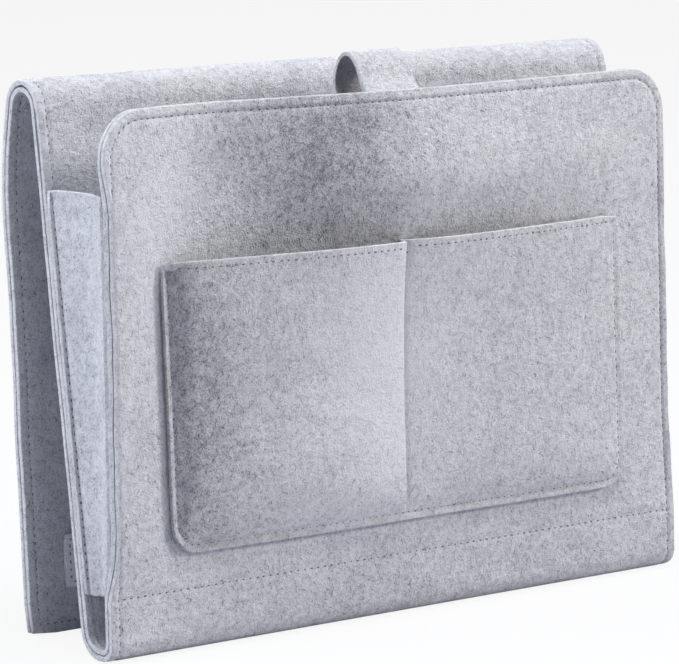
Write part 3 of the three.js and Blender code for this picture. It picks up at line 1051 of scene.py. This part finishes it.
def gusset_profile(side, z):
    """A gusset in plan at a height: front flange, web that bows inwards, rear flange."""
    rear_heights = [strip_height(REAR_START), strip_height(CROWN_START)]
    rear_at = np.interp(z, rear_heights, [REAR_START, CROWN_START])
    front_y, _ = on_strip(front_distance(z), MIDDLE - FRONT_SEAT)
    front_y = front_y - front_push(side * (HALF - FLANGE_MIDDLE), z)
    rear_y, _ = on_strip(rear_at, MIDDLE - REAR_SEAT)
    skin = GUSSET_FELT / 2
    bow = WEB_BOW + WEB_BOW_MORE * smooth(FOLD_SEAM, WEB_BOW_FULL, z)
    turned = EDGE_TURN * within(PULL_ZONE, z)
    near = [(side * (HALF - x), front_y + skin + off - turn * turned) for x, off, turn in FRONT_FLANGE]
    web = [(side * (HALF - WEB_INSET - bow), (front_y + rear_y) / 2)]
    far = [(side * (HALF - x), rear_y - skin - off) for x, off in REAR_FLANGE]
    return spline(near + web + far)


def gusset_layer(side):
    """Placing of a gusset. Flat u runs from its front flange to its rear flange, and v is the height."""

    def place(u, v, t, d):
        points = np.zeros((len(u), 3))
        for z in np.unique(np.round(v, 4)):
            row = np.abs(v - z) < 1e-3
            plan = gusset_profile(side, z)
            steps = line_steps(plan)
            at = (u[row] + GUSSET_HALF) / (2 * GUSSET_HALF) * steps[-1]
            x, y = along_line(at, steps, plan)
            ahead_x, ahead_y = along_line(at, steps, line_ahead(plan))
            off = GUSSET_FELT * (t[row] - 0.5) * side
            points[row] = np.stack([x + ahead_y * off, y - ahead_x * off, np.full(len(x), z)], axis=1)
        return points

    return place


def gusset_threads(side):
    """Seam lines up a gusset's two flanges."""
    lines = []
    for u in (GUSSET_SEAM - GUSSET_HALF, GUSSET_HALF - GUSSET_SEAM):
        flat = flat_line((u, GUSSET_SEAM_LOW), (u, GUSSET_SEAM_HIGH), count=173)
        lines.append(surface_line(gusset_layer(side), flat, GUSSET_MARGIN))
    return lines


def gusset(name, side):
    size = (GUSSET_HALF, GUSSET_LOW, GUSSET_TOP)
    place = gusset_layer(side)
    sheet = small_sheet(name + "_sheet", size, place, LINING, GUSSET_MARGIN, step=5, count=41)
    sewn = mesh_piece(name + "_stitches", *stitches(gusset_threads(side)), SHADE_PAINTED_THREAD)
    for piece in (sheet, sewn):
        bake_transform(piece)
    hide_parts(name)


# The pull loop: heights of its feet, y and z of its arch and way back, and where it leaves the lining.
FIRST_FOOT = (224, 232, 239)
SECOND_FOOT = (219, 212)
FIRST_SEAT = LOOP_FELT * 0.55  # off the lining
SECOND_SEAT = LOOP_FELT * 1.7
LOOP_ARCH = [
    (-24.6, 248), (-21.0, 254.8), (-16.8, 259.4), (-12.8, 260.9), (-8.8, 259.4), (-5.2, 254.4),
    (-3.4, 247.5), (-5.6, 240), (-12.6, 232), (-21.0, 225.5),
]
FOOT_TOP = (226, 246)  # between these heights the loop leaves the lining's form
LOOP_MARGIN = 3.0


def lining_y(z):
    """Where the front panel's lining is, at the loop."""
    y, _ = on_strip(front_distance(z), MIDDLE)
    return float(y - front_push(LOOP_X, z))


def loop_line():
    """The loop from its foot on the lining, over its arch and back down to a second foot."""
    first = [(lining_y(z) + FIRST_SEAT, z) for z in FIRST_FOOT]
    second = [(lining_y(z) + SECOND_SEAT, z) for z in SECOND_FOOT]
    return spline(first + LOOP_ARCH + second, count=24)


LOOP_LINE = loop_line()
LOOP_STEPS = line_steps(LOOP_LINE)
LOOP_LENGTH = float(LOOP_STEPS[-1])


def loop_layer(u, v, t, d):
    """Placing of the pull loop. Flat v runs along it, and its feet follow the lining."""
    y, z = along_line(v, LOOP_STEPS, LOOP_LINE)
    ahead_y, ahead_z = along_line(v, LOOP_STEPS, line_ahead(LOOP_LINE))
    off = LOOP_FELT * (t - 0.5)
    foot = 1 - smooth(*FOOT_TOP, z)
    y = y - foot * (front_push(LOOP_X + u, z) - front_push(LOOP_X, z))
    return np.stack([LOOP_X + u, y - ahead_z * off, z + ahead_y * off], axis=-1)


def pull_loop():
    size = (LOOP_WIDTH / 2, 0.0, LOOP_LENGTH)
    loop = small_sheet("pull_loop_sheet", size, loop_layer, FACE, LOOP_MARGIN, step=1.6, count=15)
    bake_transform(loop)
    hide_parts("pull_loop")


# Hook tape patches on the flap.
PATCH_MARGIN = 2.5
PATCH_SEAM = 2.6
PATCH_SEAM_CORNER = 3.2
PATCH_PITCH = 3.6
PATCH_GAP = 0.2


def patch_layer(middle):
    """Placing of a patch. Flat v runs up from its lower edge."""

    def place(u, v, t, d):
        distance = STRIP_END - PATCH_RISE - v
        y, z = on_strip(distance, -(MIDDLE + PATCH_GAP + PATCH_TAPE * t))
        return np.stack([middle + u, y + rear_ripple(middle + u, distance, z), z], axis=-1)

    return place


def hook_patch(name, middle):
    size = (PATCH_WIDTH / 2, 0.0, PATCH_HEIGHT)
    place = patch_layer(middle)
    tape = small_sheet(name + "_tape", size, place, TAPE, PATCH_MARGIN, step=1.5, count=31)
    line = outline_line(size, PATCH_SEAM_CORNER, PATCH_SEAM, open_low=False)
    closed = np.concatenate([line, line[:1]])
    threads = [surface_line(place, closed, PATCH_MARGIN)]
    sewn = mesh_piece(name + "_stitches", *stitches(threads, pitch=PATCH_PITCH), SHADE_PAINTED_THREAD)
    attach(tape, "flap")
    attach(sewn, "flap")
    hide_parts(name)


# Floor, light and camera, in metres.
FLOOR_SIZE = 24
FLOOR_Z = -0.0002
FLOOR_COLOUR = (0.56, 0.57, 0.62, 1)
FLOOR_WHITE = 0.9  # share of plain white where the floor is seen directly
SKY_COLOUR = (0.84, 0.9, 1, 1)
SKY_STRENGTH = 0.04
BACKDROP = (0.97, 0.97, 0.97, 1)
AIM = Vector((0, 0, 0.13))

# Lamps: degrees from the front towards the right, degrees up, distance, watts, width and colour.
LAMPS = {
    "key_right": (54, 26, 4.0, 125, 1.0, (1.0, 0.97, 0.915)),
    "fill_left": (-112, 20, 1.9, 34, 0.8, (0.89, 0.93, 1.0)),
    "top": (0, 80, 1.9, 40, 0.8, (0.93, 0.96, 1.0)),
}

# Camera: focal length and picture width in pixels, its place, and the point that it looks at.
FOCAL_PIXELS = 4000
PICTURE_PIXELS = 679
SENSOR = 36
CAMERA_PLACE = Vector((-1.11105, -1.47533, 0.44053))
CAMERA_AIM = Vector((-0.04066, -0.03825, 0.13745))


def in_sight(tree):
    """1 for rays that see the background directly, in a mirror or through glass."""
    path = add_node(tree, "ShaderNodeLightPath").outputs
    return larger(tree, [path["Is " + kind + " Ray"] for kind in ("Camera", "Glossy", "Transmission")])


def mix_to_output(tree, factor, first, second, output):
    """Mixes two shaders and sends them to a tree's output."""
    mixed = add_node(tree, "ShaderNodeMixShader", Fac=factor)
    tree.links.new(first.outputs[0], mixed.inputs[1])
    tree.links.new(second.outputs[0], mixed.inputs[2])
    tree.links.new(mixed.outputs[0], tree.nodes[output].inputs["Surface"])


def studio_floor():
    bpy.ops.mesh.primitive_plane_add(size=FLOOR_SIZE, location=(0, 0, FLOOR_Z))
    floor = bpy.context.object
    floor.name = "studio_floor"
    material, tree, shader = new_material("studio_floor")
    feed_named(tree, shader, {"Base Color": FLOOR_COLOUR, "Roughness": 0.9, "Specular IOR Level": 0.0})
    white = add_node(tree, "ShaderNodeEmission", Color=(1, 1, 1, 1), Strength=1.0)
    share = maths(tree, "MULTIPLY", in_sight(tree), FLOOR_WHITE)
    mix_to_output(tree, share, shader, white, "Material Output")
    floor.data.materials.append(material)


def studio_world():
    world = bpy.data.worlds.new("studio")
    bpy.context.scene.world = world
    world.use_nodes = True
    tree = world.node_tree
    sky = tree.nodes["Background"]
    feed_named(tree, sky, {"Color": SKY_COLOUR, "Strength": SKY_STRENGTH})
    backdrop = add_node(tree, "ShaderNodeBackground", Color=BACKDROP)
    mix_to_output(tree, in_sight(tree), sky, backdrop, "World Output")


def looking(place, target):
    return (target - place).to_track_quat("-Z", "Y").to_euler()


def lamp(name, around, up, reach, power, width, colour):
    data = bpy.data.lights.new(name, "AREA")
    data.shape = "SQUARE"
    data.size = width
    data.energy = power
    data.color = colour
    a = math.radians(around)
    e = math.radians(up)
    way = Vector((math.sin(a) * math.cos(e), -math.cos(a) * math.cos(e), math.sin(e)))
    made = bpy.data.objects.new(name, data)
    made.location = AIM + reach * way
    made.rotation_euler = looking(made.location, AIM)
    bpy.context.scene.collection.objects.link(made)


def camera():
    data = bpy.data.cameras.new("camera")
    data.sensor_width = SENSOR
    data.lens = FOCAL_PIXELS * SENSOR / PICTURE_PIXELS
    data.clip_start = 0.05
    data.clip_end = 60
    made = bpy.data.objects.new("camera", data)
    made.location = CAMERA_PLACE
    made.rotation_euler = looking(CAMERA_PLACE, CAMERA_AIM)
    bpy.context.scene.collection.objects.link(made)
    bpy.context.scene.camera = made


bpy.context.scene.view_settings.view_transform = "Standard"
camera()
front_panel()
rear_and_flap()
pocket_panel()
gusset("gusset_left", -1)
gusset("gusset_right", 1)
pull_loop()
hook_patch("hook_patch_left", -PATCH_X)
hook_patch("hook_patch_right", PATCH_X)
studio_floor()
studio_world()
for lamp_name, lamp_values in LAMPS.items():
    lamp(lamp_name, *lamp_values)
